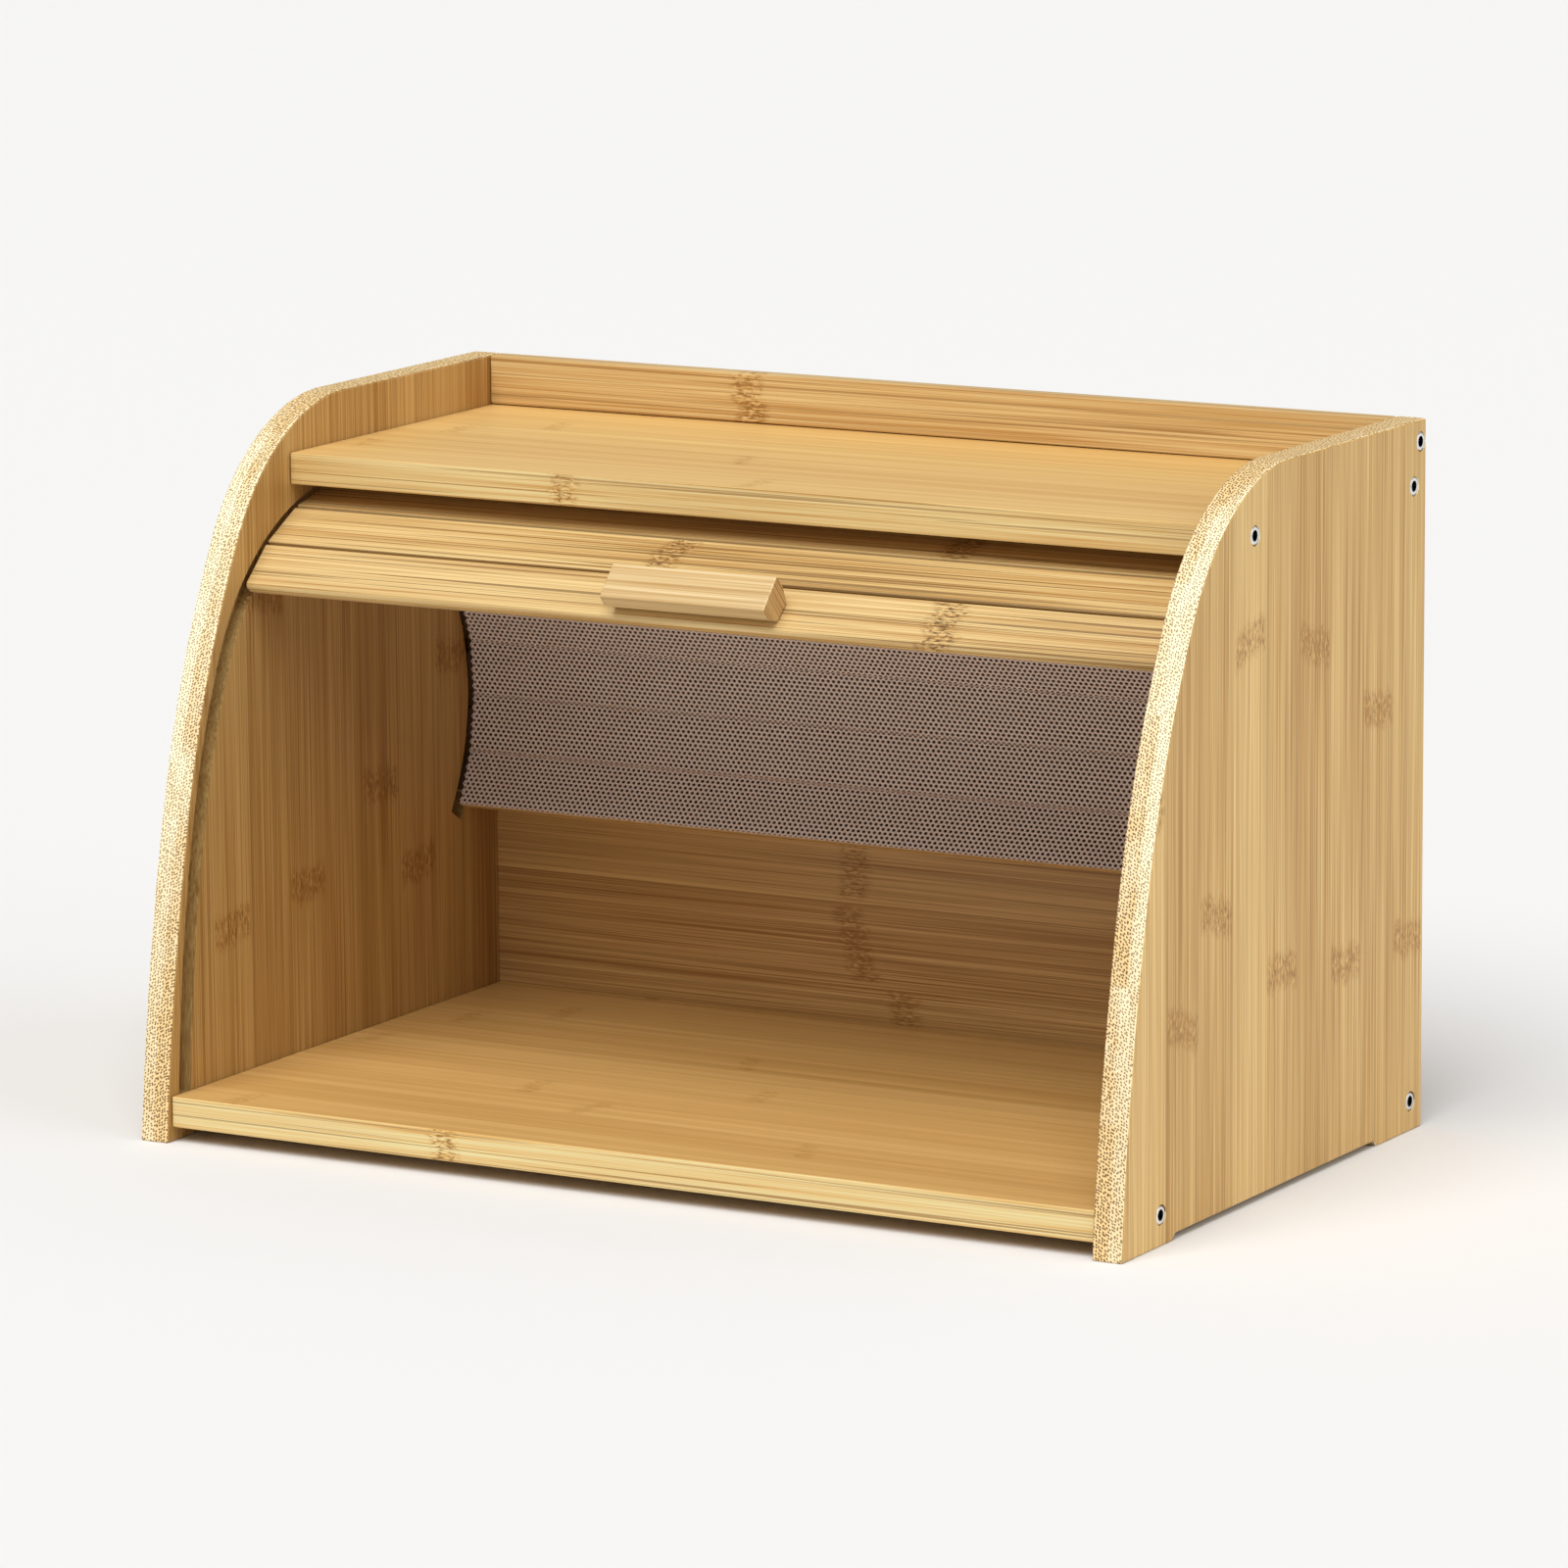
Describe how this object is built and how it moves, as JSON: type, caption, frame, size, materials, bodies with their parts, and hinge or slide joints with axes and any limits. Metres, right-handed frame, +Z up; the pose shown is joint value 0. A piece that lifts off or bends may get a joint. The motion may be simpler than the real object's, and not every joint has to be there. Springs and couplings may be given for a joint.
{
  "type": "bread box with roll top",
  "caption": "Bamboo bread box with a slatted roll top that runs in grooves in two curved side panels, with a bar handle and a net-backed curtain.",
  "frame": {"origin": "centre of the bounding box footprint, on the plane of the feet", "axes": "+X to the right along the width seen from the front, +Y towards the back, +Z up; the opening faces -Y"},
  "size_m": [0.4, 0.2379, 0.26],
  "materials": {
    "bamboo_panel": "satin bamboo, grain upright",
    "bamboo_board": "satin bamboo, grain along the width",
    "bamboo_slat": "satin bamboo, grain along the width",
    "bamboo_handle": "satin bamboo",
    "bamboo_back": "matte bamboo ply",
    "backing_net": "matte open net",
    "screw_steel": "satin steel"
  },
  "bodies": {
    "cabinet": {"side_panel_left": "bamboo_panel", "side_panel_right": "bamboo_panel", "base_board": "bamboo_board", "top_board": "bamboo_board", "back_rail": "bamboo_board", "back_panel": "bamboo_back", "screw_left_base_front": "screw_steel", "screw_left_base_rear": "screw_steel", "screw_left_top_front": "screw_steel", "screw_left_top_rear": "screw_steel", "screw_left_rail": "screw_steel", "screw_right_base_front": "screw_steel", "screw_right_base_rear": "screw_steel", "screw_right_top_front": "screw_steel", "screw_right_top_rear": "screw_steel", "screw_right_rail": "screw_steel"},
    "curtain_01": {"slat_01": "bamboo_slat", "net_01": "backing_net", "handle": "bamboo_handle", "handle_screw_1": "screw_steel", "handle_screw_2": "screw_steel"},
    "curtain_02": {"slat_02": "bamboo_slat", "net_02": "backing_net"},
    "curtain_03": {"slat_03": "bamboo_slat", "net_03": "backing_net"},
    "curtain_04": {"slat_04": "bamboo_slat", "net_04": "backing_net"},
    "curtain_05": {"slat_05": "bamboo_slat", "net_05": "backing_net"},
    "curtain_06": {"slat_06": "bamboo_slat", "net_06": "backing_net"},
    "curtain_07": {"slat_07": "bamboo_slat", "net_07": "backing_net"},
    "curtain_08": {"slat_08": "bamboo_slat", "net_08": "backing_net"},
    "curtain_09": {"slat_09": "bamboo_slat", "net_09": "backing_net"},
    "curtain_10": {"slat_10": "bamboo_slat", "net_10": "backing_net"},
    "curtain_11": {"slat_11": "bamboo_slat", "net_11": "backing_net"},
    "curtain_12": {"slat_12": "bamboo_slat", "net_12": "backing_net"}
  },
  "joints": [
    {"name": "slat_01_path", "type": "hinge", "parent": "cabinet", "child": "curtain_01", "pos_m": [0, 0.13349, 0.04871], "axis": [1, 0, 0], "range_deg": [0, 44.33]},
    {"name": "slat_02_path", "type": "hinge", "parent": "cabinet", "child": "curtain_02", "pos_m": [0, 0.08407, 0.06626], "axis": [1, 0, 0], "range_deg": [0, 56.16]},
    {"name": "slat_03_path", "type": "hinge", "parent": "cabinet", "child": "curtain_03", "pos_m": [0, 0.05299, 0.08146], "axis": [1, 0, 0], "range_deg": [0, 67.99]},
    {"name": "slat_04_path", "type": "hinge", "parent": "cabinet", "child": "curtain_04", "pos_m": [0, 0.03255, 0.09525], "axis": [1, 0, 0], "range_deg": [0, 79.83]},
    {"name": "slat_05_path", "type": "hinge", "parent": "cabinet", "child": "curtain_05", "pos_m": [0, 0.01906, 0.108], "axis": [1, 0, 0], "range_deg": [0, 91.64]},
    {"name": "slat_06_path", "type": "hinge", "parent": "cabinet", "child": "curtain_06", "pos_m": [0, 0.01149, 0.11855], "axis": [1, 0, 0], "range_deg": [0, 101.98]},
    {"name": "slat_07_path", "type": "hinge", "parent": "cabinet", "child": "curtain_07", "pos_m": [0, 0.00752, 0.12775], "axis": [1, 0, 0], "range_deg": [0, 111.39]},
    {"name": "slat_08_path", "type": "hinge", "parent": "cabinet", "child": "curtain_08", "pos_m": [0, 0.00635, 0.13432], "axis": [1, 0, 0], "range_deg": [0, 118.41]},
    {"name": "slat_09_path", "type": "hinge", "parent": "cabinet", "child": "curtain_09", "pos_m": [0, 0.00637, 0.13463], "axis": [1, 0, 0], "range_deg": [0, 118.75]},
    {"name": "slat_10_path", "type": "hinge", "parent": "cabinet", "child": "curtain_10", "pos_m": [0, 0.00637, 0.13463], "axis": [1, 0, 0], "range_deg": [0, 118.75]},
    {"name": "slat_11_path", "type": "hinge", "parent": "cabinet", "child": "curtain_11", "pos_m": [0, 0.00637, 0.13463], "axis": [1, 0, 0], "range_deg": [0, 118.75]},
    {"name": "slat_12_path", "type": "hinge", "parent": "cabinet", "child": "curtain_12", "pos_m": [0, 0.00637, 0.13463], "axis": [1, 0, 0], "range_deg": [0, 118.75]}
  ],
  "couplings": [
    {"joint": "slat_02_path", "follows": "slat_01_path", "ratio": 1.267},
    {"joint": "slat_03_path", "follows": "slat_01_path", "ratio": 1.5339},
    {"joint": "slat_04_path", "follows": "slat_01_path", "ratio": 1.8009},
    {"joint": "slat_05_path", "follows": "slat_01_path", "ratio": 2.0675},
    {"joint": "slat_06_path", "follows": "slat_01_path", "ratio": 2.3006},
    {"joint": "slat_07_path", "follows": "slat_01_path", "ratio": 2.513},
    {"joint": "slat_08_path", "follows": "slat_01_path", "ratio": 2.6714},
    {"joint": "slat_09_path", "follows": "slat_01_path", "ratio": 2.6791},
    {"joint": "slat_10_path", "follows": "slat_01_path", "ratio": 2.6791},
    {"joint": "slat_11_path", "follows": "slat_01_path", "ratio": 2.6791},
    {"joint": "slat_12_path", "follows": "slat_01_path", "ratio": 2.6791}
  ]
}
